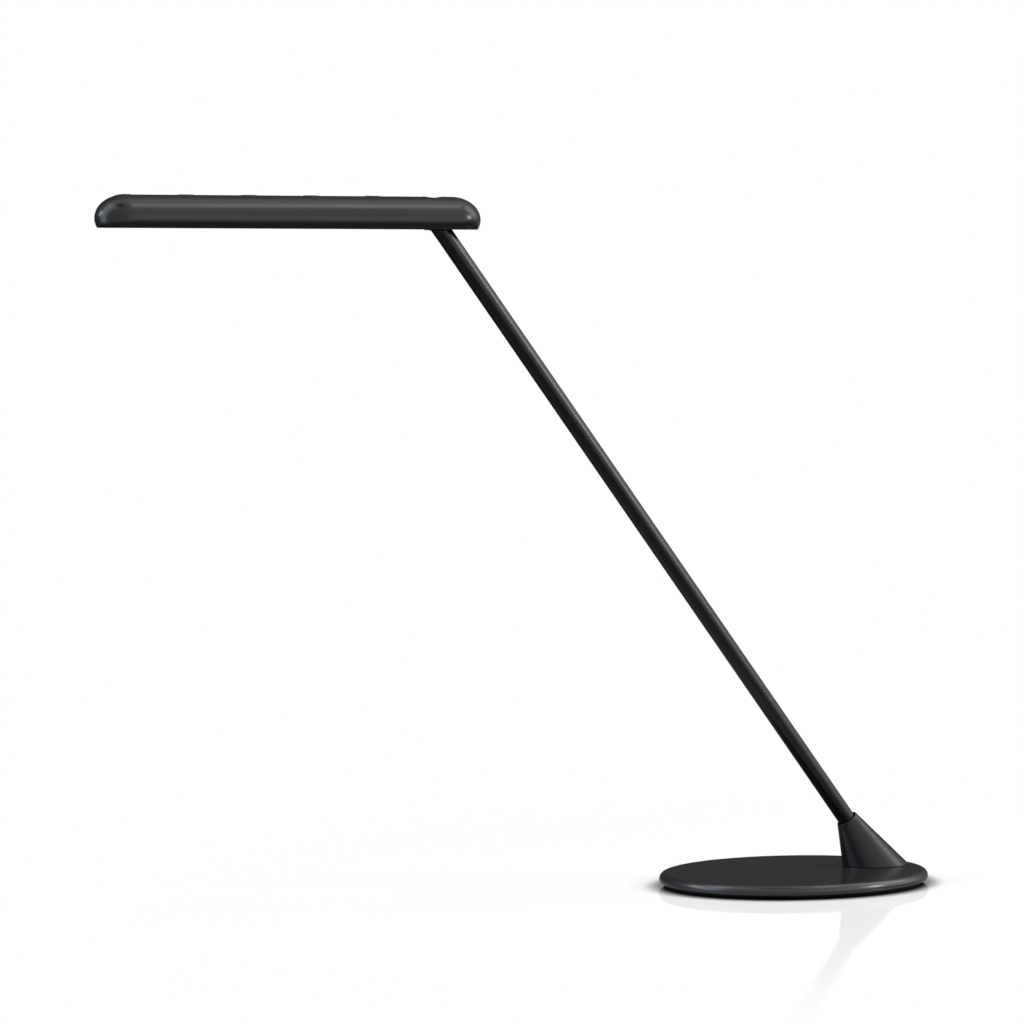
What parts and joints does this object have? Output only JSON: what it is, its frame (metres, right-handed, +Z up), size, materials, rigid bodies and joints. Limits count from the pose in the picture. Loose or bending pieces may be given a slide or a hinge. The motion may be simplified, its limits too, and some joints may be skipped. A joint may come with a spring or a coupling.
{
  "type": "folding led desk lamp",
  "caption": "Slim desk lamp: rounded bar head that tilts and swivels on a slanted tube arm, cone boot, round weighted base and a dished push button.",
  "frame": {"origin": "centre of the round base on the surface it stands on", "axes": "+Z up, +X from the base's centre towards the boot and the inlet, the head reaches towards -X, and the arm leans in the XZ plane"},
  "size_m": [0.6356, 0.2, 0.5227],
  "materials": {
    "satin_black": "satin black paint",
    "powder_black": "fine matt powder coat",
    "moulded_black": "satin moulded plastic",
    "rubber": "matt",
    "steel": "plain",
    "aluminium": "plain",
    "nylon": "moulded nylon",
    "circuit_board": "solder mask",
    "led_board": "white solder mask",
    "led": "phosphor",
    "lens": "opal, fine frosting",
    "black_plastic": "plain"
  },
  "bodies": {
    "base": {"base_cover": "powder_black", "base_weight": "steel", "bottom_plate": "powder_black", "foot_pad": "rubber", "base_screws": "steel", "swivel_bush": "nylon", "glide_ring": "nylon", "friction_washer": "steel", "stop_pin": "steel", "insulator": "nylon", "driver_board": "circuit_board", "driver_parts": "black_plastic", "dc_jack": "black_plastic", "jack_pin": "steel", "inlet_lead": "rubber", "base_lead": "rubber"},
    "arm": {"boot": "satin_black", "spindle": "steel", "spindle_screws": "steel", "stop_ring": "steel", "lock_nut": "steel", "grub_screw": "steel", "arm_tube": "satin_black", "arm_lead": "rubber", "knuckle": "satin_black"},
    "turret": {"turret": "satin_black", "tilt_bolt": "steel", "tilt_nut": "steel", "tilt_washers": "nylon"},
    "head": {"head_shell": "moulded_black", "screw_plugs": "moulded_black", "sink_screws": "steel", "heat_sink": "aluminium", "led_board": "led_board", "led_chips": "led", "diffuser": "lens", "under_cover": "moulded_black", "cover_screws": "steel", "turret_seat": "nylon", "swivel_ring": "nylon", "switch_board": "circuit_board", "board_screws": "steel", "tact_switch": "black_plastic", "head_lead": "rubber", "switch_lead": "rubber"},
    "button": {"power_button": "moulded_black", "switch_plunger": "nylon"}
  },
  "joints": [
    {"name": "base_swivel", "type": "hinge", "parent": "base", "child": "arm", "pos_m": [0.0678, 0, 0.0102], "axis": [0, 0, 1], "range_deg": [-170, 170]},
    {"name": "head_tilt", "type": "hinge", "parent": "arm", "child": "turret", "pos_m": [-0.27615, 0, 0.49692], "axis": [0, -1, 0], "range_deg": [-3, 75]},
    {"name": "head_swivel", "type": "hinge", "parent": "turret", "child": "head", "pos_m": [-0.27615, 0, 0.49692], "axis": [0.0264, 0, 0.9997], "range_deg": [-90, 90]},
    {"name": "button_press", "type": "slide", "parent": "head", "child": "button", "axis": [-0.0264, 0, -0.9997], "range_m": [0, 0.0006], "stiffness_N_per_m": 1500}
  ]
}
